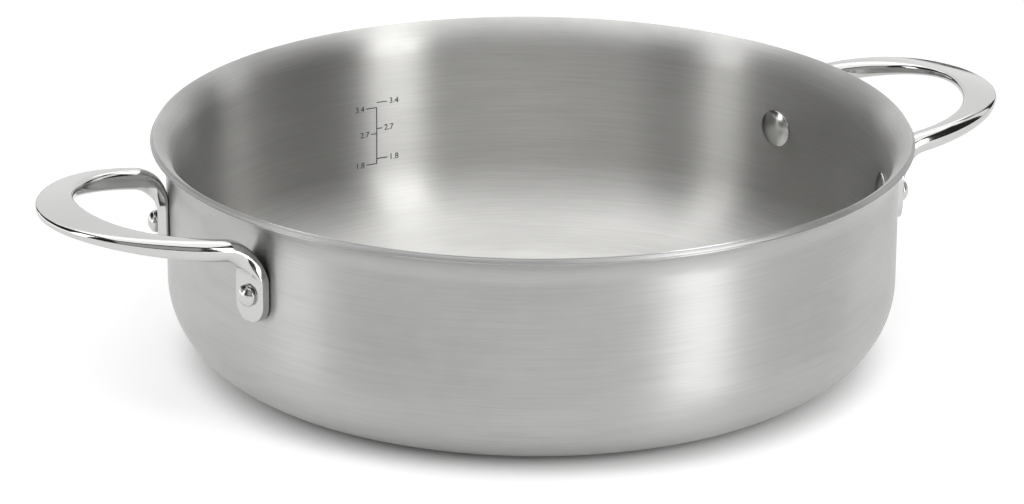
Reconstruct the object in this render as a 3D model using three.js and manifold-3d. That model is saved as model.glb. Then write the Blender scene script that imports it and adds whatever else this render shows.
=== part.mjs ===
// A low, straight-sided saute pan with a flared pouring lip and two riveted loop handles.
// Millimetres, +Z up. The origin is the centre of the base, on the surface that the pan stands on.
// The handles lie along X. The body is three bonded plies: steel, aluminium, steel.

import * as THREE from 'three';
import { ParametricGeometry } from 'three/addons/geometries/ParametricGeometry.js';
import { mergeVertices } from 'three/addons/utils/BufferGeometryUtils.js';
import Module from 'manifold-3d';

const wasm = await Module();
wasm.setup();

// Body, measured on the outside
const RIM_RADIUS = 150;
const BODY_HEIGHT = 90.5;
const LIP_FLARE = 6;
const BASE_CORNER_RADIUS = 32.5;
const LIP_TURN = THREE.MathUtils.degToRad(58);
const BASE_DISH = 0.5;
const REST_RING_WIDTH = 15;

// Plies, from the outside in
const OUTER_PLY = 0.5;
const CORE_PLY = 1.7;
const INNER_PLY = 0.5;

// Handle: two ears on the wall, a bend, an arm and a broad flat tip
const RIVET_SPACING = 90;
const RIVET_BELOW_RIM = 32.1;
const EAR_WIDTH = 15;
const EAR_THICKNESS = 4;
const EAR_BELOW_RIVET = 11;
const BEND_RADIUS = 13.5;
const BEND_FILL = 0.7;
const ARM_ABOVE_RIVET = 19.1;
const ARM_WIDTH = 9.2;
const ARM_THICKNESS = 8.2;
const REACH_BEYOND_RIM = 55;
const HANDLE_RISE = THREE.MathUtils.degToRad(8);
const TIP_WIDTH = 15.5;
const TIP_THICKNESS = 3.4;
const TIP_TILT = THREE.MathUtils.degToRad(9);

// How square each section of the handle is: 2 is an ellipse, more is squarer
const EAR_SQUARENESS = 10;
const ARM_SQUARENESS = 2.4;
const TIP_SQUARENESS = 4;

// Rivets
const SHANK_RADIUS = 2.8;
const INNER_HEAD_RADIUS = 7.7;
const INNER_HEAD_HEIGHT = 2.2;
const INNER_HEAD_EDGE = 0.6;
const OUTER_HEAD_RADIUS = 4.3;
const OUTER_HEAD_HEIGHT = 3.2;
const OUTER_HEAD_EDGE = 1.0;

// Clearances
const SEAT_GAP = 0.3;
const BORE_GAP = 0.3;
const BOND_LINE = 0.02;

// Facets
const BODY_FACETS = 48;
const CORNER_STEPS = 5;
const LIP_STEPS = 4;
const SECTION_POINTS = 16;
const EAR_END_STEPS = 4;
const EAR_STEPS = 2;
const BEND_STEPS = 6;
const LOOP_STEPS = 9;
const RIVET_FACETS = 14;
const DOME_STEPS = 3;

// Colours and how rough each finish is
const OUTER_FINISH = { color: 0xbdbdbb, roughness: 0.35 };
const CORE_FINISH = { color: 0xc9cacc, roughness: 0.45 };
const INNER_FINISH = { color: 0xb4b4b0, roughness: 0.3 };
const HANDLE_FINISH = { color: 0xd2d2d0, roughness: 0.08 };
const RIVET_FINISH = { color: 0xcfcfcd, roughness: 0.12 };

// Sizes and places that follow from those above
const WALL_RADIUS = RIM_RADIUS - LIP_FLARE;
const RIVET_HEIGHT = BODY_HEIGHT - RIVET_BELOW_RIM;
const ARM_HEIGHT = RIVET_HEIGHT + ARM_ABOVE_RIVET;
const HANDLE_REACH = RIM_RADIUS + REACH_BEYOND_RIM;
const CORE_DEPTH = OUTER_PLY + BOND_LINE;
const INNER_DEPTH = CORE_DEPTH + CORE_PLY + BOND_LINE;
const WALL = INNER_DEPTH + INNER_PLY;
const UP = new THREE.Vector3(0, 0, 1);

// Corners closer than this are one corner
const SAME_CORNER = 1e-4;

// A closed three.js geometry becomes a solid that can be cut
function solidOf(geometry) {
  const bare = geometry.clone();
  bare.deleteAttribute('normal');
  bare.deleteAttribute('uv');
  const merged = mergeVertices(bare, SAME_CORNER);
  const corners = merged.index.array;
  const kept = [];
  for (let i = 0; i < corners.length; i += 3) {
    const [a, b, c] = [corners[i], corners[i + 1], corners[i + 2]];
    if (a !== b && b !== c && c !== a) kept.push(a, b, c);
  }
  return new wasm.Manifold(new wasm.Mesh({
    numProp: 3,
    vertProperties: new Float32Array(merged.attributes.position.array),
    triVerts: new Uint32Array(kept),
  }));
}

function geometryOf(solid) {
  const mesh = solid.getMesh();
  const geometry = new THREE.BufferGeometry();
  geometry.setAttribute('position', new THREE.BufferAttribute(mesh.vertProperties, 3));
  geometry.setIndex(new THREE.BufferAttribute(mesh.triVerts, 1));
  geometry.computeVertexNormals();
  return geometry;
}

function piece(name, solid, finish) {
  const material = new THREE.MeshStandardMaterial({ ...finish, metalness: 1 });
  const mesh = new THREE.Mesh(geometryOf(solid), material);
  mesh.name = name;
  return mesh;
}

// The lathe turns about Y, so the finished shape is stood up along Z
function turned(profile, facets) {
  return new THREE.LatheGeometry(profile, facets).rotateX(Math.PI / 2);
}

// Points on an arc, from one angle to another
function arc(centreX, centreY, radius, from, to, steps) {
  return Array.from({ length: steps + 1 }, (_, i) => {
    const angle = THREE.MathUtils.lerp(from, to, i / steps);
    return new THREE.Vector2(centreX + radius * Math.cos(angle), centreY + radius * Math.sin(angle));
  });
}

// Half section of the body at a depth under its outside: dished base, resting ring, corner, wall and lip
function bodyLine(depth) {
  const cornerCentre = WALL_RADIUS - BASE_CORNER_RADIUS;
  const lipRadius = LIP_FLARE / (1 - Math.cos(LIP_TURN));
  const lipStart = BODY_HEIGHT - (lipRadius + WALL) * Math.sin(LIP_TURN);
  return [
    new THREE.Vector2(0, depth + BASE_DISH),
    new THREE.Vector2(cornerCentre - REST_RING_WIDTH, depth),
    ...arc(cornerCentre, BASE_CORNER_RADIUS, BASE_CORNER_RADIUS - depth, -Math.PI / 2, 0, CORNER_STEPS),
    ...arc(WALL_RADIUS + lipRadius, lipStart, lipRadius + depth, Math.PI, Math.PI - LIP_TURN, LIP_STEPS),
  ];
}

function ply(outerDepth, thickness) {
  const inside = bodyLine(outerDepth + thickness).reverse();
  return solidOf(turned([...bodyLine(outerDepth), ...inside], BODY_FACETS));
}

// The room that the body needs, with the gap that a handle keeps to it
function bodyRoom() {
  const top = new THREE.Vector2(0, BODY_HEIGHT + WALL);
  const outline = [new THREE.Vector2(0, -WALL), ...bodyLine(-SEAT_GAP).slice(1), top];
  return solidOf(turned(outline, BODY_FACETS));
}

// Where a handle's ears sit
const EAR_RADIUS = WALL_RADIUS + SEAT_GAP + EAR_THICKNESS / 2;
const EAR_ANGLE = Math.asin(RIVET_SPACING / 2 / EAR_RADIUS);

// One cross-section of the handle: its centre, the way out of the loop, its upper side and its size
function section(centre, outward, upper, width, thickness, squareness) {
  return { centre, outward, upper, width, thickness, squareness };
}

function earSection(height, width) {
  const radial = new THREE.Vector3(Math.cos(EAR_ANGLE), Math.sin(EAR_ANGLE), 0);
  const centre = radial.clone().multiplyScalar(EAR_RADIUS).setZ(height);
  const along = new THREE.Vector3(-Math.sin(EAR_ANGLE), Math.cos(EAR_ANGLE), 0);
  return section(centre, along, radial.clone().negate(), width, EAR_THICKNESS, EAR_SQUARENESS);
}

// The bend turns from straight up the wall to the rise of the arm. Over its first part, which BEND_FILL
// gives as a share, the flat ear fills out to the round arm
const BEND_TURN = Math.PI / 2 - HANDLE_RISE;
const BEND_START = ARM_HEIGHT - BEND_RADIUS * Math.sin(BEND_TURN);

function bendSection(share) {
  const turn = share * BEND_TURN;
  const twist = EAR_ANGLE * (1 - share);
  const out = new THREE.Vector3(Math.cos(twist), Math.sin(twist), 0);
  const centre = earSection(BEND_START, EAR_WIDTH).centre;
  centre.x += BEND_RADIUS * (1 - Math.cos(turn));
  centre.z += BEND_RADIUS * Math.sin(turn);
  const upper = UP.clone().multiplyScalar(Math.sin(turn)).addScaledVector(out, -Math.cos(turn));
  const outward = new THREE.Vector3(-Math.sin(twist), Math.cos(twist), 0);
  const blend = THREE.MathUtils.smoothstep(share, 0, BEND_FILL);
  return section(
    centre,
    outward,
    upper,
    THREE.MathUtils.lerp(EAR_WIDTH, ARM_WIDTH, blend),
    THREE.MathUtils.lerp(EAR_THICKNESS, ARM_THICKNESS, blend),
    THREE.MathUtils.lerp(EAR_SQUARENESS, ARM_SQUARENESS, blend),
  );
}

// A quarter of an ellipse in a rising plane, along which the round arm flattens to a broad, tilted band
function loopSection(share) {
  const start = bendSection(1).centre;
  const reach = HANDLE_REACH - Math.cos(TIP_TILT) * TIP_WIDTH / 2 - start.x;
  const angle = share * Math.PI / 2;
  const rising = new THREE.Vector3(1, 0, Math.tan(HANDLE_RISE));
  const across = new THREE.Vector3(0, 1, 0);
  const centre = start.clone().setY(start.y * Math.cos(angle));
  centre.addScaledVector(rising, reach * Math.sin(angle));
  const flat = rising.clone().normalize();
  const out = flat.clone().multiplyScalar(start.y * Math.sin(angle));
  out.addScaledVector(across, reach / Math.cos(HANDLE_RISE) * Math.cos(angle)).normalize();
  const top = new THREE.Vector3().crossVectors(flat, across);
  const blend = THREE.MathUtils.smoothstep(share, 0, 1);
  const roll = (HANDLE_RISE + TIP_TILT) * blend;
  return section(
    centre,
    out.clone().multiplyScalar(Math.cos(roll)).addScaledVector(top, -Math.sin(roll)),
    top.clone().multiplyScalar(Math.cos(roll)).addScaledVector(out, Math.sin(roll)),
    THREE.MathUtils.lerp(ARM_WIDTH, TIP_WIDTH, blend),
    THREE.MathUtils.lerp(ARM_THICKNESS, TIP_THICKNESS, blend),
    THREE.MathUtils.lerp(ARM_SQUARENESS, TIP_SQUARENESS, blend),
  );
}

// Sections from the round lower end of one ear to the tip of the loop
function halfHandle() {
  const endRadius = EAR_WIDTH / 2;
  const endHeight = RIVET_HEIGHT - EAR_BELOW_RIVET + endRadius;
  const sections = [];
  for (let i = 0; i <= EAR_END_STEPS; i += 1) {
    const angle = (i / EAR_END_STEPS) * Math.PI / 2;
    sections.push(earSection(endHeight - endRadius * Math.cos(angle), EAR_WIDTH * Math.sin(angle)));
  }
  for (let i = 1; i < EAR_STEPS; i += 1) {
    sections.push(earSection(THREE.MathUtils.lerp(endHeight, BEND_START, i / EAR_STEPS), EAR_WIDTH));
  }
  for (let i = 0; i < BEND_STEPS; i += 1) sections.push(bendSection(i / BEND_STEPS));
  for (let i = 0; i <= LOOP_STEPS; i += 1) sections.push(loopSection(i / LOOP_STEPS));
  return sections;
}

// A rounded-rectangle outline, as a share of the half width or half thickness
function rounded(value, squareness) {
  if (Math.abs(value) < Number.EPSILON) return 0;
  return Math.sign(value) * Math.abs(value) ** (2 / squareness);
}

// The loft runs from one ear round the tip to the other ear, which mirrors the first
function handleLoft() {
  const half = halfHandle();
  const last = half.length - 1;
  const spans = 2 * last;
  const onSurface = (around, along, target) => {
    const step = Math.round(along * spans);
    const { centre, outward, upper, width, thickness, squareness } = half[last - Math.abs(last - step)];
    const angle = (Math.round(around * SECTION_POINTS) % SECTION_POINTS) * 2 * Math.PI / SECTION_POINTS;
    target.copy(centre);
    target.addScaledVector(outward, rounded(Math.cos(angle), squareness) * width / 2);
    target.addScaledVector(upper, rounded(Math.sin(angle), squareness) * thickness / 2);
    if (step > last) target.y *= -1;
  };
  return solidOf(new ParametricGeometry(onSurface, SECTION_POINTS, spans));
}

// Everything on a rivet's axis is drawn along +Z and then laid along a radius at the rivet's place
function onRivetAxis(geometry, angle) {
  return geometry.rotateY(Math.PI / 2).rotateZ(angle).translate(0, 0, RIVET_HEIGHT);
}

function rivetBore(angle) {
  const radius = SHANK_RADIUS + BORE_GAP;
  const bore = [
    new THREE.Vector2(0, 0),
    new THREE.Vector2(radius, 0),
    new THREE.Vector2(radius, HANDLE_REACH),
    new THREE.Vector2(0, HANDLE_REACH),
  ];
  return solidOf(onRivetAxis(turned(bore, RIVET_FACETS), angle));
}

// A low dome on a short straight edge, from the edge's seat to the crown
function dome(radius, edge, height) {
  const rise = height - edge;
  const ball = (radius * radius + rise * rise) / (2 * rise);
  const half = Math.asin(radius / ball);
  return [
    new THREE.Vector2(radius, 0),
    ...arc(0, height - ball, ball, Math.PI / 2 - half, Math.PI / 2, DOME_STEPS),
  ];
}

function rivetSolid(angle) {
  const wallInside = (WALL_RADIUS - WALL) * Math.cos(Math.PI / BODY_FACETS);
  const innerSeat = Math.sqrt(wallInside ** 2 - INNER_HEAD_RADIUS ** 2) - SEAT_GAP;
  const outerSeat = EAR_RADIUS + EAR_THICKNESS / 2 + SEAT_GAP;
  const innerHead = dome(INNER_HEAD_RADIUS, INNER_HEAD_EDGE, INNER_HEAD_HEIGHT).reverse();
  const outerHead = dome(OUTER_HEAD_RADIUS, OUTER_HEAD_EDGE, OUTER_HEAD_HEIGHT);
  const profile = [
    ...innerHead.map((p) => new THREE.Vector2(p.x, innerSeat - p.y)),
    new THREE.Vector2(SHANK_RADIUS, innerSeat),
    new THREE.Vector2(SHANK_RADIUS, outerSeat),
    ...outerHead.map((p) => new THREE.Vector2(p.x, outerSeat + p.y)),
  ];
  return solidOf(onRivetAxis(turned(profile, RIVET_FACETS), angle));
}

// The four rivets, by the angle of their ears round the body
const RIVETS = {
  rivet_right_front: -EAR_ANGLE,
  rivet_right_rear: EAR_ANGLE,
  rivet_left_rear: Math.PI - EAR_ANGLE,
  rivet_left_front: Math.PI + EAR_ANGLE,
};
const bores = Object.values(RIVETS).map(rivetBore);

function drilled(solid) {
  return bores.reduce((rest, bore) => rest.subtract(bore), solid);
}

// The left handle is the right one, turned half round
const HALF_TURN_DEG = 180;
const rightHandle = handleLoft().subtract(bodyRoom());

const pan = new THREE.Group();
pan.add(piece('outer_steel_ply', drilled(ply(0, OUTER_PLY)), OUTER_FINISH));
pan.add(piece('aluminium_core', drilled(ply(CORE_DEPTH, CORE_PLY)), CORE_FINISH));
pan.add(piece('inner_steel_ply', drilled(ply(INNER_DEPTH, INNER_PLY)), INNER_FINISH));
pan.add(piece('handle_right', drilled(rightHandle), HANDLE_FINISH));
pan.add(piece('handle_left', drilled(rightHandle.rotate([0, 0, HALF_TURN_DEG])), HANDLE_FINISH));
for (const [name, angle] of Object.entries(RIVETS)) {
  pan.add(piece(name, rivetSolid(angle), RIVET_FINISH));
}

export default pan;
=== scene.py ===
# %% [markdown]
# # A low saute pan with two loop handles
# The pan is drawn from clad sheet: a steel skin outside, an aluminium core that spreads the heat,
# and a steel skin inside. Two cast loop handles are riveted to its wall.
# A frame of plain solids already has the right sizes and places. This lesson makes the finished
# look of each piece in that same place. Everything is in metres, with Z up, and the middle of the
# base is the origin.

# %% Load the frame
import math

import bmesh
import bpy
from mathutils import Matrix, Vector


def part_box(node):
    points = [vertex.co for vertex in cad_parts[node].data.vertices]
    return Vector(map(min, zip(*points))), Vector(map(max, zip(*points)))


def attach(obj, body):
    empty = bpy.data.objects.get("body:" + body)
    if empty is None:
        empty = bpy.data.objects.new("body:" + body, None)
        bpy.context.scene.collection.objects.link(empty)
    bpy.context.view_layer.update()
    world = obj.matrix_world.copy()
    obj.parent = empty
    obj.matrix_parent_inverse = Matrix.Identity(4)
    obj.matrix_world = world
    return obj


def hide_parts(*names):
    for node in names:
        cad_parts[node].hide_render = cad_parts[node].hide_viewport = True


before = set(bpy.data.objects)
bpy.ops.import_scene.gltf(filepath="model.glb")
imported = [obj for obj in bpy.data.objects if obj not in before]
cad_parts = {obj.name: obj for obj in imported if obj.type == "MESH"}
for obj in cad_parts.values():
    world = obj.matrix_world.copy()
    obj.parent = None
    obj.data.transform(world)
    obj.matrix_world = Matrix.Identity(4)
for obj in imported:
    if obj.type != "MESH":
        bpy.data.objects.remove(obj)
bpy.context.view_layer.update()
print("solids in the frame:", ", ".join(sorted(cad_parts)))

# %% [markdown]
# ## A pen for half outlines
# The body and the rivets are turned shapes: half an outline, swept once round an axis. The outline
# could be typed as a long list of points, but it is only a few straight runs and arcs. So a small
# pen draws it with two operators. Extruding one vertex draws a straight run, and spinning one
# vertex about a centre draws an arc, so every arc is truly round however fine it is.

# %% Pen strokes and the full turn
MERGE_DISTANCE = 1e-6
ANTICLOCKWISE = Vector((0, -1, 0))
UP = Vector((0, 0, 1))
FULL_TURN = 2 * math.pi
QUARTER_TURN = math.pi / 2


def pen_down(bm, radius, height):
    return bm.verts.new((radius, 0, height))


def line_to(bm, point, radius, height, steps=1):
    begin, end = point.co.copy(), Vector((radius, 0, height))
    for step in range(1, steps + 1):
        point = bmesh.ops.extrude_vert_indiv(bm, verts=[point])["verts"][0]
        point.co = begin.lerp(end, step / steps)
    return point


def arc_about(bm, point, radius, height, turn, steps):
    made = bmesh.ops.spin(bm, geom=[point], cent=(radius, 0, height), axis=ANTICLOCKWISE,
                          angle=turn, steps=steps)
    return next(part for part in made["geom_last"] if isinstance(part, bmesh.types.BMVert))


def turn_outline(bm, steps):
    bmesh.ops.spin(bm, geom=bm.verts[:] + bm.edges[:], cent=(0, 0, 0), axis=UP,
                   angle=FULL_TURN, steps=steps, use_merge=True)
    bmesh.ops.remove_doubles(bm, verts=bm.verts, dist=MERGE_DISTANCE)
    bmesh.ops.recalc_face_normals(bm, faces=bm.faces)


print("pen ready: a stroke is one vertex, extruded or spun")

# %% [markdown]
# ## Putting a piece in the scene
# A finished mesh becomes an object at the origin, unturned and unscaled, with its place in its
# vertices. It rides on the frame's one body and takes the place of the plain solid that it stands for.

# %% Add a piece
def add_piece(name, bm, material, slot, *solids):
    mesh = bpy.data.meshes.new(name)
    bm.to_mesh(mesh)
    bm.free()
    mesh.shade_smooth()
    mesh.materials.append(material)
    piece = bpy.data.objects.new(name, mesh)
    bpy.context.scene.collection.objects.link(piece)
    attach(piece, "root")
    if solids:
        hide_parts(*solids)
    print(f"{name}: {len(mesh.polygons)} faces")


print("add_piece ready: one mesh with one finish, on the body root")

# %% [markdown]
# ## Node trees
# A finish is a tree of shader nodes. Placing a node takes the same steps each time: make it, set or
# link its inputs, and take its output. Effects that several finishes share go in a group, which is a
# tree with inputs and outputs of its own. A few helpers do these steps, so that a formula below reads
# as one line.

# %% Helpers for node trees
def new_group(name, inputs, outputs):
    tree = bpy.data.node_groups.new(name, "ShaderNodeTree")
    for label, value in inputs.items():
        socket = tree.interface.new_socket(label, in_out="INPUT", socket_type="NodeSocketFloat")
        socket.default_value = value
    for label in outputs:
        tree.interface.new_socket(label, in_out="OUTPUT", socket_type="NodeSocketFloat")
    return tree, tree.nodes.new("NodeGroupInput"), tree.nodes.new("NodeGroupOutput")


def maths(tree, operation, first, second):
    node = tree.nodes.new("ShaderNodeMath")
    node.operation = operation
    for socket, value in zip(node.inputs, (first, second)):
        if isinstance(value, bpy.types.NodeSocket):
            tree.links.new(value, socket)
        else:
            socket.default_value = value
    return node.outputs["Value"]


def vector_maths(tree, operation, first, second=None, scale=None):
    node = tree.nodes.new("ShaderNodeVectorMath")
    node.operation = operation
    tree.links.new(first, node.inputs[0])
    if second is not None:
        tree.links.new(second, node.inputs[1])
    if scale is not None:
        tree.links.new(scale, node.inputs["Scale"])
    return node


def noise(tree, vector, scale, detail, roughness):
    node = tree.nodes.new("ShaderNodeTexNoise")
    node.inputs["Scale"].default_value = scale
    node.inputs["Detail"].default_value = detail
    node.inputs["Roughness"].default_value = roughness
    tree.links.new(vector, node.inputs["Vector"])
    return node.outputs["Fac"]


print("node helpers ready: groups, sums and noise")

# %% [markdown]
# ## Shared effects
# A pan is brushed while it spins, so its fine lines run round it, on the wall and on the floor
# alike. Image textures could carry them, but a noise that is stretched round the axis never shows a
# seam and has no size limit. The group below reads the distance along the outline, radius plus
# height, which grows steadily from the middle of the floor to the lip. Noise that changes fast
# along it and slowly round the axis is a set of brushed lines.

# %% Group: lines left by brushing on a lathe
LINE_DEFAULTS = {"Lines per metre": 1500, "Breaks": 4}
LINE_LAYERS = {"Lines": {"share": 1.0, "detail": 4}, "Bands": {"share": 0.06, "detail": 2}}
LINE_BREAKUP = 0.6


def lathe_lines_group():
    tree, given, made = new_group("lathe_lines", LINE_DEFAULTS, LINE_LAYERS)
    place = tree.nodes.new("ShaderNodeTexCoord").outputs["Object"]
    split = tree.nodes.new("ShaderNodeSeparateXYZ")
    tree.links.new(place, split.inputs["Vector"])
    flat = tree.nodes.new("ShaderNodeCombineXYZ")
    tree.links.new(split.outputs["X"], flat.inputs["X"])
    tree.links.new(split.outputs["Y"], flat.inputs["Y"])
    radius = vector_maths(tree, "LENGTH", flat.outputs["Vector"]).outputs["Value"]
    facing = vector_maths(tree, "NORMALIZE", flat.outputs["Vector"]).outputs["Vector"]
    along = maths(tree, "ADD", radius, split.outputs["Z"])
    around = vector_maths(tree, "SCALE", facing, scale=given.outputs["Breaks"]).outputs["Vector"]
    for label, layer in LINE_LAYERS.items():
        per_metre = maths(tree, "MULTIPLY", given.outputs["Lines per metre"], layer["share"])
        rise = tree.nodes.new("ShaderNodeCombineXYZ")
        tree.links.new(maths(tree, "MULTIPLY", along, per_metre), rise.inputs["Z"])
        stretched = vector_maths(tree, "ADD", around, rise.outputs["Vector"]).outputs["Vector"]
        streaks = noise(tree, stretched, scale=1.0, detail=layer["detail"], roughness=LINE_BREAKUP)
        tree.links.new(streaks, made.inputs[label])
    return tree


lathe_lines = lathe_lines_group()
print("group lathe_lines:", len(lathe_lines.nodes), "nodes")

# %% [markdown]
# Steel that has been handled is never evenly clean. Faint, soft patches of touch and cloth change
# how sharp a reflection is, far more than they change its colour. One group makes these patches
# for every steel on the pan, from two sizes of noise.

# %% Group: faint marks of handling
MARK_DEFAULTS = {"Patches per metre": 30}
SOFT_PATCHES = {"scale": 1.0, "detail": 2, "roughness": 0.5}
FINE_PATCHES = {"scale": 6.0, "detail": 3, "roughness": 0.6}


def handling_marks_group():
    tree, given, made = new_group("handling_marks", MARK_DEFAULTS, ["Marks"])
    place = tree.nodes.new("ShaderNodeTexCoord").outputs["Object"]
    per_metre = given.outputs["Patches per metre"]
    enlarged = vector_maths(tree, "SCALE", place, scale=per_metre).outputs["Vector"]
    soft = noise(tree, enlarged, **SOFT_PATCHES)
    fine = noise(tree, enlarged, **FINE_PATCHES)
    tree.links.new(maths(tree, "MULTIPLY", soft, fine), made.inputs["Marks"])
    return tree


handling_marks = handling_marks_group()
print("group handling_marks:", len(handling_marks.nodes), "nodes")

# %% [markdown]
# ## Finishes
# Every finish of the pan starts as a metal of one colour. Real metal varies, so the value of a group
# then changes it a little: one helper spreads that value over a range, and others use it to vary the
# roughness, to tint the colour and to raise the surface as bump.

# %% Helpers for finishes
def new_finish(name, colour):
    material = bpy.data.materials.new(name)
    material.use_nodes = True
    tree = material.node_tree
    shader = tree.nodes["Principled BSDF"]
    shader.inputs["Base Color"].default_value = (*colour, 1)
    shader.inputs["Metallic"].default_value = 1.0
    return material, tree, shader


def use_group(tree, group, **values):
    node = tree.nodes.new("ShaderNodeGroup")
    node.node_tree = group
    for label, value in values.items():
        node.inputs[label.replace("_", " ")].default_value = value
    return node


def spread(tree, value, low, high, start=0, end=1, shape="LINEAR"):
    node = tree.nodes.new("ShaderNodeMapRange")
    node.interpolation_type = shape
    node.inputs["From Min"].default_value = start
    node.inputs["From Max"].default_value = end
    node.inputs["To Min"].default_value = low
    node.inputs["To Max"].default_value = high
    tree.links.new(value, node.inputs["Value"])
    return node.outputs["Result"]


def vary_roughness(tree, shader, value, roughness, least, most):
    tree.links.new(spread(tree, value, roughness * least, roughness * most), shader.inputs["Roughness"])


def tint(tree, shader, value, colour, change):
    node = tree.nodes.new("ShaderNodeMix")
    node.data_type = "RGBA"
    node.inputs["A"].default_value = (*[part * (1 - change) for part in colour], 1)
    node.inputs["B"].default_value = (*[min(1, part * (1 + change)) for part in colour], 1)
    tree.links.new(value, node.inputs["Factor"])
    tree.links.new(node.outputs["Result"], shader.inputs["Base Color"])


def relief(tree, shader, value, strength, depth):
    node = tree.nodes.new("ShaderNodeBump")
    node.inputs["Strength"].default_value = strength
    node.inputs["Distance"].default_value = depth
    tree.links.new(value, node.inputs["Height"])
    tree.links.new(node.outputs["Normal"], shader.inputs["Normal"])


print("finish helpers ready: roughness, tint and relief")

# %% [markdown]
# ## Brushed steel
# Brushed lines spread a reflection across themselves and hardly at all along themselves. On the
# wall they run round, so a lamp becomes an upright streak with crisp sides. Bump alone can't do
# that at this scale, because the lines are finer than a pixel, so the shader is made anisotropic,
# with its tangent running round the Z axis. The lines then only vary the roughness and colour a
# little and give a trace of bump.

# %% Finish: brushed steel
ACROSS_THE_LINES = 0.25
BRUSHED_RANGE = {"least": 0.75, "most": 1.2}
LINES_IN_STREAKS, BANDS_IN_STREAKS = 0.7, 0.3
STREAK_CONTRAST = 0.25
LINE_RELIEF = {"strength": 0.3, "depth": 0.00002}


def brushed_steel(name, colour, roughness, lines_per_metre, anisotropy):
    material, tree, shader = new_finish(name, colour)
    shader.inputs["Anisotropic"].default_value = anisotropy
    shader.inputs["Anisotropic Rotation"].default_value = ACROSS_THE_LINES
    tangent = tree.nodes.new("ShaderNodeTangent")
    tangent.direction_type = "RADIAL"
    tangent.axis = "Z"
    tree.links.new(tangent.outputs["Tangent"], shader.inputs["Tangent"])
    lines = use_group(tree, lathe_lines, Lines_per_metre=lines_per_metre)
    marks = use_group(tree, handling_marks)
    worn = maths(tree, "ADD", lines.outputs["Lines"], marks.outputs["Marks"])
    vary_roughness(tree, shader, worn, roughness, **BRUSHED_RANGE)
    fine = maths(tree, "MULTIPLY", lines.outputs["Lines"], LINES_IN_STREAKS)
    broad = maths(tree, "MULTIPLY", lines.outputs["Bands"], BANDS_IN_STREAKS)
    tint(tree, shader, maths(tree, "ADD", fine, broad), colour, STREAK_CONTRAST)
    relief(tree, shader, lines.outputs["Lines"], **LINE_RELIEF)
    return material


outside_finish = brushed_steel("satin_outside", (0.465, 0.465, 0.455), roughness=0.37,
                               lines_per_metre=1600, anisotropy=0.85)
inside_finish = brushed_steel("brushed_inside", (0.56, 0.557, 0.545), roughness=0.37,
                              lines_per_metre=1200, anisotropy=1.0)
core_finish = brushed_steel("ground_core", (0.5, 0.5, 0.5), roughness=0.45,
                            lines_per_metre=2500, anisotropy=0.3)
print("brushed finishes:", outside_finish.name, inside_finish.name, core_finish.name)

# %% [markdown]
# The pan's floor is made paler and more matte than its wall. The matte share is a finer finish, as
# finely ground steel has, but the paler colour is painted light: it brightens the floor as stronger
# light from above would. A second material would need a seam, so the inside finish changes with height
# instead. Its colour is scaled by a gain that is highest on the floor and fades away up the corner, and
# there the metal gives way in the same manner to a share of plain scattered light.

# %% Half-matte floor with painted light, for the inside finish
FLOOR_LEVEL, WALL_LEVEL = 0.006, 0.03
FLOOR_PAINTED_LIGHT = 1.42
FLOOR_METAL = 0.6


def fade_from_floor(tree, on_floor):
    place = tree.nodes.new("ShaderNodeTexCoord").outputs["Object"]
    split = tree.nodes.new("ShaderNodeSeparateXYZ")
    tree.links.new(place, split.inputs["Vector"])
    return spread(tree, split.outputs["Z"], on_floor, 1, FLOOR_LEVEL, WALL_LEVEL)


def matte_floor_with_painted_light(material):
    tree = material.node_tree
    shader = tree.nodes["Principled BSDF"]
    streaked = shader.inputs["Base Color"].links[0].from_socket
    # Painted light: this gain brightens the floor's colour as stronger light from above would.
    painted_paler = vector_maths(tree, "SCALE", streaked, scale=fade_from_floor(tree, FLOOR_PAINTED_LIGHT))
    tree.links.new(painted_paler.outputs["Vector"], shader.inputs["Base Color"])
    tree.links.new(fade_from_floor(tree, FLOOR_METAL), shader.inputs["Metallic"])


matte_floor_with_painted_light(inside_finish)
print("the floor's colour is scaled by", FLOOR_PAINTED_LIGHT, "and it is metal by", FLOOR_METAL)

# %% [markdown]
# ## Polished steel
# The handles and rivets are polished to a mirror. A mirror finish is not a perfect one: buffing
# leaves very shallow waves, which bend the reflections of straight edges, and the cloth leaves a
# haze that comes and goes. The waves are a slow bump and the haze is a small change of roughness.

# %% Finish: polished steel
POLISHED_COLOUR = (0.55, 0.55, 0.54)
HAZE_PATCHES = 60
HAZE_RANGE = {"least": 0.6, "most": 2.2}
HAZE_CONTRAST = 0.03
WAVES = {"scale": 45, "detail": 1, "roughness": 0.4}
WAVE_STRENGTH = 0.25


def polished_steel(name, roughness, wave_depth):
    material, tree, shader = new_finish(name, POLISHED_COLOUR)
    marks = use_group(tree, handling_marks, Patches_per_metre=HAZE_PATCHES).outputs["Marks"]
    vary_roughness(tree, shader, marks, roughness, **HAZE_RANGE)
    tint(tree, shader, marks, POLISHED_COLOUR, HAZE_CONTRAST)
    place = tree.nodes.new("ShaderNodeTexCoord").outputs["Object"]
    relief(tree, shader, noise(tree, place, **WAVES), WAVE_STRENGTH, wave_depth)
    return material


handle_finish = polished_steel("polished_handle", roughness=0.1, wave_depth=0.0002)
rivet_finish = polished_steel("polished_rivet", roughness=0.17, wave_depth=0.0001)
print("polished finishes:", handle_finish.name, rivet_finish.name)

# %% [markdown]
# ## The body
# The body is one sheet of three bonded plies, drawn into a low straight-sided pan. Its base is
# dished by half a millimetre, so that it stands on a ring and stays flat when it is hot, its corner
# is a generous arc for a whisk, and its lip turns outwards to pour cleanly. All three plies are the
# same outline at different depths, so one function draws a ply between two depths and turns it.

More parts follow.
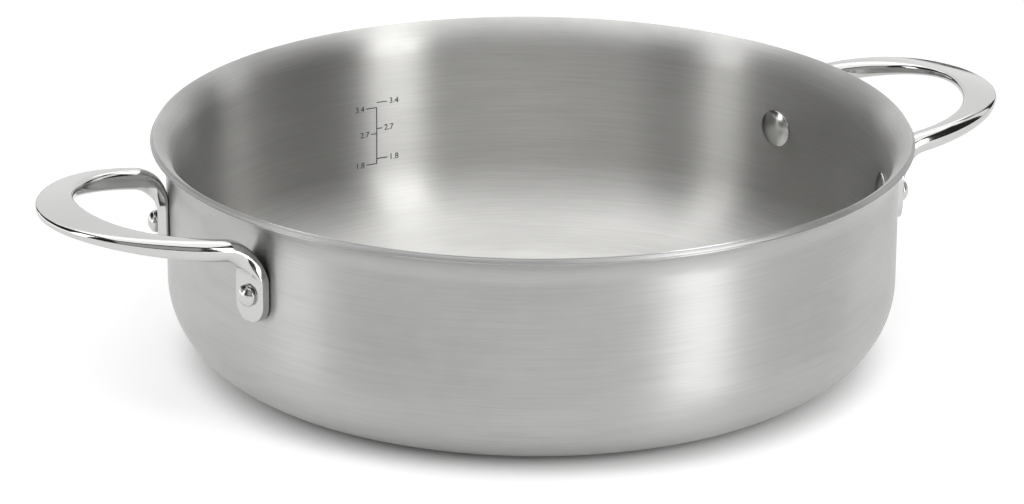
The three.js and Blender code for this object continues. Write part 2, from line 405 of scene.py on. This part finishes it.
# %% Outline of one ply
RIM_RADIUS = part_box("outer_steel_ply")[1].x
BODY_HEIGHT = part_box("inner_steel_ply")[1].z
LIP_FLARE = 0.006
LIP_TURN = math.radians(58)
BASE_CORNER = 0.0325
BASE_DISH = 0.0005
REST_RING = 0.015
OUTER_PLY = 0.0005
CORE_PLY = 0.0017
INNER_PLY = 0.0005
BOND_LINE = 0.00002
LIP_EDGE = 0.0002
CORE_DEPTH = OUTER_PLY + BOND_LINE
INNER_DEPTH = CORE_DEPTH + CORE_PLY + BOND_LINE
WALL = INNER_DEPTH + INNER_PLY
WALL_RADIUS = RIM_RADIUS - LIP_FLARE
LIP_RADIUS = LIP_FLARE / (1 - math.cos(LIP_TURN))
LIP_START = BODY_HEIGHT - (LIP_RADIUS + WALL) * math.sin(LIP_TURN)
FLOOR_STEPS, REST_STEPS, CORNER_STEPS, WALL_STEPS = 8, 2, 20, 8
LIP_STEPS, EDGE_STEPS, ROUND_STEPS = 14, 3, 288


def draw_ply(depth, thickness):
    bm = bmesh.new()
    within = depth + thickness
    corner = WALL_RADIUS - BASE_CORNER
    lip_centre = WALL_RADIUS + LIP_RADIUS
    point = pen_down(bm, 0, BASE_DISH + depth)
    point = line_to(bm, point, corner - REST_RING, depth, FLOOR_STEPS)
    point = line_to(bm, point, corner, depth, REST_STEPS)
    point = arc_about(bm, point, corner, BASE_CORNER, QUARTER_TURN, CORNER_STEPS)
    point = line_to(bm, point, WALL_RADIUS - depth, LIP_START, WALL_STEPS)
    outer_end = arc_about(bm, point, lip_centre, LIP_START, -LIP_TURN, LIP_STEPS)
    inner_end = line_to(bm, outer_end, lip_centre - (LIP_RADIUS + within) * math.cos(LIP_TURN),
                        LIP_START + (LIP_RADIUS + within) * math.sin(LIP_TURN))
    point = arc_about(bm, inner_end, lip_centre, LIP_START, LIP_TURN, LIP_STEPS)
    point = line_to(bm, point, WALL_RADIUS - within, BASE_CORNER, WALL_STEPS)
    point = arc_about(bm, point, corner, BASE_CORNER, -QUARTER_TURN, CORNER_STEPS)
    point = line_to(bm, point, corner - REST_RING, within, REST_STEPS)
    line_to(bm, point, 0, BASE_DISH + within, FLOOR_STEPS)
    bmesh.ops.bevel(bm, geom=[outer_end, inner_end], offset=LIP_EDGE, offset_type="OFFSET",
                    segments=EDGE_STEPS, profile=0.5, affect="VERTICES", material=-1)
    turn_outline(bm, ROUND_STEPS)
    return bm


print("wall", round(WALL, 5), "m thick, lip from a height of", round(LIP_START, 4), "m")

# %% Turn the three plies
add_piece("outer_ply", draw_ply(0, OUTER_PLY), outside_finish, "outer_steel", "outer_steel_ply")
add_piece("core_ply", draw_ply(CORE_DEPTH, CORE_PLY), core_finish, "core_aluminium", "aluminium_core")
add_piece("inner_ply", draw_ply(INNER_DEPTH, INNER_PLY), inside_finish, "inner_steel", "inner_steel_ply")

# %% [markdown]
# ## The loop handles
# Each handle is one casting. A flat ear lies on the wall under each rivet, the bar bends away from
# the wall as a round arm, and the arm sweeps round and flattens into a broad band that the fingers
# close on. A pipe along a curve couldn't change its section like that, so the handle is lofted:
# sections are set along its line and bridged, from the end of one ear to the tip of the loop. Then
# the half is mirrored.
# A section is a circle whose four quarters are pulled apart. With a small circle it is a bar with
# crisp edges, and with a large one it is nearly round, so one rule covers the whole handle.

# %% One section of a handle
SECTION_POINTS = 48


def set_section(bm, place, width, thickness, edge):
    half_step = Matrix.Rotation(math.pi / SECTION_POINTS, 4, "Z")
    ring = bmesh.ops.create_circle(bm, segments=SECTION_POINTS, radius=edge, matrix=half_step)["verts"]
    for corner in ring:
        corner.co.x += math.copysign(width / 2 - edge, corner.co.x)
        corner.co.y += math.copysign(thickness / 2 - edge, corner.co.y)
    bmesh.ops.transform(bm, matrix=place, verts=ring)
    return ring


def placed(centre, outward, upper):
    turned = Matrix((outward, upper, outward.cross(upper))).transposed()
    return Matrix.Translation(centre) @ turned.to_4x4()


def smooth_share(share):
    return share * share * (3 - 2 * share)


def between(first, last, share):
    return first + (last - first) * share


print("sections have", SECTION_POINTS, "points")

# %% [markdown]
# The handle hangs on sizes of the wall and the rivets: an ear lies on the wall's radius, half a rivet
# spacing to either side, and the arm leaves it a little above the rivet. The plain solids leave a
# hair's gap behind an ear, and the ear is made thicker by that much here, so that it lies on the wall.

# %% Sizes of a handle
HANDLE_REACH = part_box("handle_right")[1].x
RIVET_SPACING = 0.09
RIVET_BELOW_RIM = 0.0321
RIVET_HEIGHT = BODY_HEIGHT - RIVET_BELOW_RIM
SEAT_GAP = 0.0003
EAR_WIDTH, EAR_THICKNESS, EAR_EDGE = 0.015, 0.004, 0.0009
EAR_BELOW_RIVET = 0.011
BEND_RADIUS, BEND_FILL = 0.0135, 0.7
ARM_ABOVE_RIVET = 0.0191
ARM_HEIGHT = RIVET_HEIGHT + ARM_ABOVE_RIVET
ARM_WIDTH, ARM_THICKNESS, ARM_EDGE = 0.0092, 0.0082, 0.0039
HANDLE_RISE = math.radians(8)
TIP_WIDTH, TIP_THICKNESS, TIP_EDGE = 0.0155, 0.0034, 0.0013
TIP_TILT = math.radians(9)
EAR_RADIUS = WALL_RADIUS + SEAT_GAP + EAR_THICKNESS / 2
EAR_ANGLE = math.asin(RIVET_SPACING / 2 / EAR_RADIUS)
SEATED_RADIUS = EAR_RADIUS - SEAT_GAP / 2
SEATED_THICKNESS = EAR_THICKNESS + SEAT_GAP
BEND_TURN = QUARTER_TURN - HANDLE_RISE
BEND_START = ARM_HEIGHT - BEND_RADIUS * math.sin(BEND_TURN)
print("ears at", round(math.degrees(EAR_ANGLE), 2), "degrees either side of the handle's middle")

# %% [markdown]
# The line of the handle has three stretches. The ear stands upright against the wall, the bend is an
# arc from upright to the slight rise of the arm, and the loop is a quarter of an ellipse in that
# rising plane. While the arm flattens it also rolls, so that the band at the tip slopes down a little
# towards the hand. Each stretch has a function that gives the place of a section on it.

# %% The line of a handle, from ear to tip
def out_of_wall(angle):
    return Vector((math.cos(angle), math.sin(angle), 0))


def round_wall(angle):
    return Vector((-math.sin(angle), math.cos(angle), 0))


def ear_place(height):
    centre = out_of_wall(EAR_ANGLE) * SEATED_RADIUS + UP * height
    return placed(centre, round_wall(EAR_ANGLE), -out_of_wall(EAR_ANGLE))


def bend_place(share):
    turn = share * BEND_TURN
    twist = EAR_ANGLE * (1 - share)
    centre = ear_place(BEND_START).translation
    centre += Vector((BEND_RADIUS * (1 - math.cos(turn)), 0, BEND_RADIUS * math.sin(turn)))
    upper = UP * math.sin(turn) - out_of_wall(twist) * math.cos(turn)
    return placed(centre, round_wall(twist), upper)


def loop_place(share):
    start = bend_place(1).translation
    reach = HANDLE_REACH - math.cos(TIP_TILT) * TIP_WIDTH / 2 - start.x
    angle = share * QUARTER_TURN
    rising = Vector((1, 0, math.tan(HANDLE_RISE)))
    across = Vector((0, 1, 0))
    centre = Vector((start.x, start.y * math.cos(angle), start.z)) + rising * reach * math.sin(angle)
    level = rising.normalized()
    outward = level * start.y * math.sin(angle)
    outward = (outward + across * reach / math.cos(HANDLE_RISE) * math.cos(angle)).normalized()
    top = level.cross(across)
    roll = (HANDLE_RISE + TIP_TILT) * smooth_share(share)
    return placed(centre, outward * math.cos(roll) - top * math.sin(roll),
                  top * math.cos(roll) + outward * math.sin(roll))


print("the loop starts", round(bend_place(1).translation.x, 4), "m from the pan's axis")

# %% [markdown]
# The end of an ear is half round, and its rim is eased like the rest of its edges. Sections that
# narrow as a circle does give the half round, and over the last bit they also thin out as a quarter
# circle does, which eases the end. After that the sections blend from the ear's sizes to the arm's in
# the bend, and from the arm's to the band's along the loop.

# %% Sections from the ear's end to the tip
END_STEPS, EAR_STEPS, BEND_STEPS, LOOP_STEPS = 14, 6, 24, 56
FIRST_SHARE = 0.02
ROUNDEST_EDGE = 2.2


def ear_end_sections(bm):
    end_radius = EAR_WIDTH / 2
    lowest = RIVET_HEIGHT - EAR_BELOW_RIVET
    rings = []
    for step in range(END_STEPS + 1):
        share = between(FIRST_SHARE, 1, step / END_STEPS)
        above_end = end_radius * (1 - math.cos(share * QUARTER_TURN))
        width = 2 * end_radius * math.sin(share * QUARTER_TURN)
        short = max(0, EAR_EDGE - above_end)
        thickness = SEATED_THICKNESS - 2 * (EAR_EDGE - math.sqrt(EAR_EDGE ** 2 - short ** 2))
        edge = min(EAR_EDGE, width / ROUNDEST_EDGE, thickness / ROUNDEST_EDGE)
        rings.append(set_section(bm, ear_place(lowest + above_end), width, thickness, edge))
    return rings


def handle_sections(bm):
    rings = ear_end_sections(bm)
    full_width = RIVET_HEIGHT - EAR_BELOW_RIVET + EAR_WIDTH / 2
    for step in range(1, EAR_STEPS):
        height = between(full_width, BEND_START, step / EAR_STEPS)
        rings.append(set_section(bm, ear_place(height), EAR_WIDTH, SEATED_THICKNESS, EAR_EDGE))
    for step in range(BEND_STEPS):
        blend = smooth_share(min(1, step / BEND_STEPS / BEND_FILL))
        rings.append(set_section(bm, bend_place(step / BEND_STEPS), between(EAR_WIDTH, ARM_WIDTH, blend),
                                 between(SEATED_THICKNESS, ARM_THICKNESS, blend),
                                 between(EAR_EDGE, ARM_EDGE, blend)))
    for step in range(LOOP_STEPS + 1):
        blend = smooth_share(step / LOOP_STEPS)
        rings.append(set_section(bm, loop_place(step / LOOP_STEPS), between(ARM_WIDTH, TIP_WIDTH, blend),
                                 between(ARM_THICKNESS, TIP_THICKNESS, blend),
                                 between(ARM_EDGE, TIP_EDGE, blend)))
    return rings


print("half a handle has", END_STEPS + EAR_STEPS + BEND_STEPS + LOOP_STEPS + 1, "sections")

# %% [markdown]
# Neighbouring sections are bridged with faces, and the first one is capped. The half handle is then
# mirrored across its middle and welded there. Both handles are this one shape, and the left one is
# turned by half a turn about the pan's axis.

# %% Loft half a handle and mirror it
def ring_edges(ring):
    inside = set(ring)
    return {edge for corner in ring for edge in corner.link_edges if edge.other_vert(corner) in inside}


def loft_handle():
    bm = bmesh.new()
    rings = handle_sections(bm)
    loops = [ring_edges(ring) for ring in rings]
    bmesh.ops.contextual_create(bm, geom=list(loops[0]))
    for first, second in zip(loops, loops[1:]):
        bmesh.ops.bridge_loops(bm, edges=list(first | second))
    bmesh.ops.mirror(bm, geom=bm.verts[:] + bm.edges[:] + bm.faces[:], matrix=Matrix.Identity(4),
                     merge_dist=MERGE_DISTANCE, axis="Y")
    bmesh.ops.remove_doubles(bm, verts=bm.verts, dist=MERGE_DISTANCE)
    bmesh.ops.recalc_face_normals(bm, faces=bm.faces)
    return bm


def add_handle(name, turn, solid):
    bm = loft_handle()
    bmesh.ops.rotate(bm, verts=bm.verts, cent=(0, 0, 0), matrix=Matrix.Rotation(turn, 3, "Z"))
    add_piece(name, bm, handle_finish, "handle_steel", solid)


add_handle("loop_right", 0, "handle_right")
add_handle("loop_left", math.pi, "handle_left")

# %% [markdown]
# ## The rivets
# A rivet's broad head sits inside the pan, where it is easy to wipe round, and its shank is upset
# into a smaller dome outside, on the ear. Both heads are low domes on a short straight edge. Each
# rivet is one turned outline, drawn along its own axis and then laid along a radius of the pan. The
# heads keep their crowns and reach down over the small gap that the solids leave under them.

# %% Turn a rivet and set the four of them
SHANK_RADIUS = 0.0028
INNER_HEAD = {"radius": 0.0077, "edge": 0.0006, "height": 0.0022}
OUTER_HEAD = {"radius": 0.0043, "edge": 0.0010, "height": 0.0032}
HEAD_EDGE = 0.0003
DOME_STEPS, HEAD_EDGE_STEPS, RIVET_STEPS = 14, 3, 64
WALL_INSIDE = WALL_RADIUS - WALL
EAR_FACE = EAR_RADIUS + EAR_THICKNESS / 2


def dome_ball(head):
    rise = head["height"] - head["edge"]
    return (head["radius"] ** 2 + rise ** 2) / (2 * rise)


def draw_rivet():
    bm = bmesh.new()
    inner_crown = WALL_INSIDE - SEAT_GAP - INNER_HEAD["height"]
    outer_crown = EAR_FACE + SEAT_GAP + OUTER_HEAD["height"]
    ball = dome_ball(INNER_HEAD)
    half = math.asin(INNER_HEAD["radius"] / ball)
    point = pen_down(bm, 0, inner_crown)
    edge_in = arc_about(bm, point, 0, inner_crown + ball, half, DOME_STEPS)
    point = line_to(bm, edge_in, INNER_HEAD["radius"], WALL_INSIDE)
    point = line_to(bm, point, SHANK_RADIUS, WALL_INSIDE)
    point = line_to(bm, point, SHANK_RADIUS, EAR_FACE)
    point = line_to(bm, point, OUTER_HEAD["radius"], EAR_FACE)
    ball = dome_ball(OUTER_HEAD)
    half = math.asin(OUTER_HEAD["radius"] / ball)
    edge_height = outer_crown - OUTER_HEAD["height"] + OUTER_HEAD["edge"]
    edge_out = line_to(bm, point, OUTER_HEAD["radius"], edge_height)
    arc_about(bm, edge_out, 0, outer_crown - ball, half, DOME_STEPS)
    bmesh.ops.bevel(bm, geom=[edge_in, edge_out], offset=HEAD_EDGE, offset_type="OFFSET",
                    segments=HEAD_EDGE_STEPS, profile=0.5, affect="VERTICES", material=-1)
    turn_outline(bm, RIVET_STEPS)
    return bm


def add_rivet(name, angle, solid):
    bm = draw_rivet()
    lie = Matrix.Translation(UP * RIVET_HEIGHT) @ Matrix.Rotation(angle, 4, "Z")
    lie = lie @ Matrix.Rotation(QUARTER_TURN, 4, "Y")
    bmesh.ops.transform(bm, matrix=lie, verts=bm.verts)
    add_piece(name, bm, rivet_finish, "rivet_steel", solid)


RIVET_ANGLES = {"right_front": -EAR_ANGLE, "right_rear": EAR_ANGLE,
                "left_rear": math.pi - EAR_ANGLE, "left_front": math.pi + EAR_ANGLE}
for place_name, rivet_angle in RIVET_ANGLES.items():
    add_rivet("dome_rivet_" + place_name, rivet_angle, "rivet_" + place_name)

# %% [markdown]
# ## The fill scale
# A scale of fill lines is etched on the inside wall, midway between the handles, with plain numbers
# beside its marks: the litres that the bowl holds up to each one. The left column repeats the numbers
# a little lower, as marks in a slightly smaller unit would stand.
# Etching leaves the steel dark and matte, so its finish is dark, rough and a little patchy.

# %% Finish: etched steel
ETCHED_COLOUR = (0.12, 0.12, 0.12)
ETCHED_ROUGHNESS = (0.5, 0.8)
ETCHED_PATCHES = 400
ETCHED_CONTRAST = 0.3


def etched_steel():
    material, tree, shader = new_finish("etched_mark", ETCHED_COLOUR)
    marks = use_group(tree, handling_marks, Patches_per_metre=ETCHED_PATCHES).outputs["Marks"]
    tree.links.new(spread(tree, marks, *ETCHED_ROUGHNESS), shader.inputs["Roughness"])
    tint(tree, shader, marks, ETCHED_COLOUR, ETCHED_CONTRAST)
    return material


etched_finish = etched_steel()
print("etched finish:", etched_finish.name)

# %% [markdown]
# The etching could be a picture on the wall, but as thin geometry it stays sharp in any view. The
# marks are drawn flat, from grids and text, and then wrapped on the wall: across the drawing becomes
# round the wall. A mark is given by its height, its length and its number.

# %% Draw the scale flat and wrap it on the wall
SCALE_ANGLE = math.radians(91.2)
SCALE_MARKS = ((0.0594, 0.0049, "3.4"), (0.0479, 0.0026, "2.7"), (0.0346, 0.0049, "1.8"))
LEFT_DROP = 0.0022
LINE_WIDTH = 0.0004
NUMBER_SIZE = 0.0036
NUMBER_GAP = 0.0008
ETCH_HEIGHT = 0.00003
MARK_STEPS = 10


def draw_bar(bm, left, right, low, high):
    bar = bmesh.ops.create_grid(bm, x_segments=MARK_STEPS, y_segments=1, size=0.5)["verts"]
    bmesh.ops.scale(bm, vec=(right - left, high - low, 1), verts=bar)
    bmesh.ops.translate(bm, vec=((left + right) / 2, (low + high) / 2, 0), verts=bar)


def draw_number(bm, text, x, y, side):
    curve = bpy.data.curves.new("number", "FONT")
    curve.body = text
    curve.size = NUMBER_SIZE
    curve.align_x = side
    curve.align_y = "CENTER"
    drawn = bpy.data.objects.new("number", curve)
    mesh = bpy.data.meshes.new_from_object(drawn)
    mesh.transform(Matrix.Translation((x, y, 0)))
    bm.from_mesh(mesh)
    bpy.data.objects.remove(drawn)
    bpy.data.curves.remove(curve)
    bpy.data.meshes.remove(mesh)


def wrap_on_wall(bm):
    radius = WALL_INSIDE - ETCH_HEIGHT
    for corner in bm.verts:
        angle = SCALE_ANGLE - corner.co.x / WALL_INSIDE
        corner.co = out_of_wall(angle) * radius + UP * corner.co.y


def draw_scale():
    bm = bmesh.new()
    heights = [height for height, _, _ in SCALE_MARKS]
    draw_bar(bm, -LINE_WIDTH / 2, LINE_WIDTH / 2, min(heights) - LEFT_DROP, max(heights) - LEFT_DROP)
    for height, length, number in SCALE_MARKS:
        low, high = height - LINE_WIDTH / 2, height + LINE_WIDTH / 2
        draw_bar(bm, 0, length, low, high)
        draw_bar(bm, -length, 0, low - LEFT_DROP, high - LEFT_DROP)
        draw_number(bm, number, length + NUMBER_GAP, height, "LEFT")
        draw_number(bm, number, -length - NUMBER_GAP, height - LEFT_DROP, "RIGHT")
    wrap_on_wall(bm)
    bmesh.ops.remove_doubles(bm, verts=bm.verts, dist=MERGE_DISTANCE)
    bmesh.ops.recalc_face_normals(bm, faces=bm.faces)
    bmesh.ops.solidify(bm, geom=bm.faces[:], thickness=2 * ETCH_HEIGHT)
    return bm


add_piece("etched_scale", draw_scale(), etched_finish, "inner_steel")

# %% [markdown]
# ## The camera
# The photograph was taken from well back with a long lens, a little above the rim and to the left
# of square-on, so that both handles show. The camera stands on a sphere round the pan, and its aim
# is a point near the pan's axis, a little above the base.

# %% Set the camera
VIEW_AZIMUTH = math.radians(-26.45)
VIEW_ELEVATION = math.radians(21.09)
VIEW_DISTANCE = 1.9158
VIEW_ROLL = math.radians(0.397)
VIEW_AIM = Vector((-0.0012, 0.0152, 0.0340))
FRAME_PIXELS = 1024
FOCAL_PIXELS = 4800
VIEW_RIGHT = Vector((math.cos(VIEW_AZIMUTH), math.sin(VIEW_AZIMUTH), 0))
TO_VIEWER = Vector((math.sin(VIEW_AZIMUTH), -math.cos(VIEW_AZIMUTH), 0))

lens = bpy.data.cameras.new("camera")
lens.sensor_fit = "HORIZONTAL"
lens.lens = lens.sensor_width * FOCAL_PIXELS / FRAME_PIXELS
camera = bpy.data.objects.new("camera", lens)
camera.location = (TO_VIEWER * math.cos(VIEW_ELEVATION) + UP * math.sin(VIEW_ELEVATION)) * VIEW_DISTANCE
level_look = (VIEW_AIM - camera.location).to_track_quat("-Z", "Y").to_matrix()
camera.rotation_euler = (level_look @ Matrix.Rotation(VIEW_ROLL, 3, "Z")).to_euler()
bpy.context.scene.collection.objects.link(camera)
bpy.context.scene.camera = camera
print("lens", round(lens.lens, 2), "mm at", [round(value, 3) for value in camera.location])

# %% [markdown]
# ## The floor
# The pan stands on a white floor that takes its shadow. Lamps alone leave such a floor grey, and lamps
# that whitened it would burn out the steel. So it also glows, but only for rays that come from the
# camera or that a shiny or clear surface sends on, so that it lights no matte surface. The glow comes
# in two rings: none under the pan, so that its shadow stays dark where it touches, about half of white
# beside it, and full white far away, where the lamps hardly reach.

# %% White floor
FLOOR_HALF = 6.0
FLOOR_COLOUR = (0.8, 0.8, 0.8)
FLOOR_ROUGHNESS = 0.8
GLOW_COLOUR = (1, 1, 1, 1)
GLOW_RINGS = ({"high": 0.54, "start": 0.114, "end": 0.148}, {"high": 0.46, "start": 0.6, "end": 1.2})


def pale_floor():
    material, tree, shader = new_finish("pale_floor", FLOOR_COLOUR)
    shader.inputs["Metallic"].default_value = 0.0
    shader.inputs["Roughness"].default_value = FLOOR_ROUGHNESS
    shader.inputs["Specular IOR Level"].default_value = 0.0
    shader.inputs["Emission Color"].default_value = GLOW_COLOUR
    path = tree.nodes.new("ShaderNodeLightPath")
    seen = maths(tree, "ADD", path.outputs["Is Camera Ray"], path.outputs["Is Glossy Ray"])
    seen = maths(tree, "ADD", seen, path.outputs["Is Transmission Ray"])
    place = tree.nodes.new("ShaderNodeTexCoord").outputs["Object"]
    apart = vector_maths(tree, "LENGTH", place).outputs["Value"]
    glow = 0
    for ring in GLOW_RINGS:
        glow = maths(tree, "ADD", spread(tree, apart, low=0, shape="SMOOTHSTEP", **ring), glow)
    tree.links.new(maths(tree, "MULTIPLY", seen, glow), shader.inputs["Emission Strength"])
    return material


floor_bm = bmesh.new()
bmesh.ops.create_grid(floor_bm, x_segments=1, y_segments=1, size=FLOOR_HALF)
floor_mesh = bpy.data.meshes.new("floor")
floor_bm.to_mesh(floor_mesh)
floor_bm.free()
floor_mesh.materials.append(pale_floor())
floor = bpy.data.objects.new("floor", floor_mesh)
bpy.context.scene.collection.objects.link(floor)
print("floor", 2 * FLOOR_HALF, "m across")

# %% [markdown]
# ## The lamps
# Metal shows its surroundings, so the lamps are set by what the steel should reflect. All are area
# lamps turned to the pan, because the size of a lamp is what metal shows, and each is given by the
# radiance of its face, which is how bright its reflection looks.
# Three of them light the whole scene. A tall strip on the viewer's right makes the bright upright band
# on the wall, inside and out, a weaker strip stands on the left, and a broad lamp overhead lights the
# pan's floor and makes the soft shadow. The other five are there for the steel to mirror and light no
# matte surface: a panel above and one behind, a dim strip behind on the right, a large dim one in
# front, and a low one on the left.

# %% Lamps
PAN_MIDDLE = Vector((0, 0, BODY_HEIGHT / 2))
SCENE_LAMPS = {
    "strip_right": dict(right=0.855, nearer=0.738, height=0.42, width=0.39, length=0.8, radiance=5.6),
    "strip_left": dict(right=-1.04, nearer=0.38, height=0.43, width=0.3, length=0.8, radiance=2.9),
    "overhead": dict(right=0, nearer=0.05, height=1.6, width=2.2, length=2.1, radiance=1.56),
}
STEEL_LAMPS = {
    "top_panel": dict(right=-0.15, nearer=-0.6, height=1.2, width=1.6, length=1.0, radiance=1.05),
    "back_panel": dict(right=0, nearer=-1.5, height=0.8, width=2.6, length=1.4, radiance=1.05),
    "strip_back": dict(right=1.06, nearer=-0.56, height=0.65, width=0.35, length=1.2, radiance=1.2),
    "front_fill": dict(right=-0.1, nearer=2.2, height=1.1, width=3.0, length=1.6, radiance=0.48),
    "low_left": dict(right=-1.1, nearer=-0.25, height=0.13, width=1.2, length=0.22, radiance=1.6),
}


def add_lamp(name, right, nearer, height, width, length, radiance, lights_matte):
    lamp = bpy.data.lights.new(name, "AREA")
    lamp.shape = "RECTANGLE"
    lamp.size = width
    lamp.size_y = length
    lamp.energy = radiance * math.pi * width * length
    stand = bpy.data.objects.new(name, lamp)
    stand.location = VIEW_RIGHT * right + TO_VIEWER * nearer + UP * height
    stand.rotation_euler = (PAN_MIDDLE - stand.location).to_track_quat("-Z", "Y").to_euler()
    stand.visible_camera = False
    stand.visible_diffuse = lights_matte
    bpy.context.scene.collection.objects.link(stand)
    print(name, round(lamp.energy, 2), "W")


for lamp_name, lamp_sizes in SCENE_LAMPS.items():
    add_lamp(lamp_name, lights_matte=True, **lamp_sizes)
for lamp_name, lamp_sizes in STEEL_LAMPS.items():
    add_lamp(lamp_name, lights_matte=False, **lamp_sizes)

# %% [markdown]
# ## The surroundings
# The room beyond the lamps is nearly black, so that the steel has dark parts between its bright bands.
# The Standard view shows a colour about as it is written.

# %% Surroundings
WORLD_COLOUR = (0.03, 0.03, 0.03, 1)
world = bpy.data.worlds.new("studio")
bpy.context.scene.world = world
world.use_nodes = True
world.node_tree.nodes["Background"].inputs["Color"].default_value = WORLD_COLOUR
bpy.context.scene.view_settings.view_transform = "Standard"
print("world", world.name, "in the view", bpy.context.scene.view_settings.view_transform)
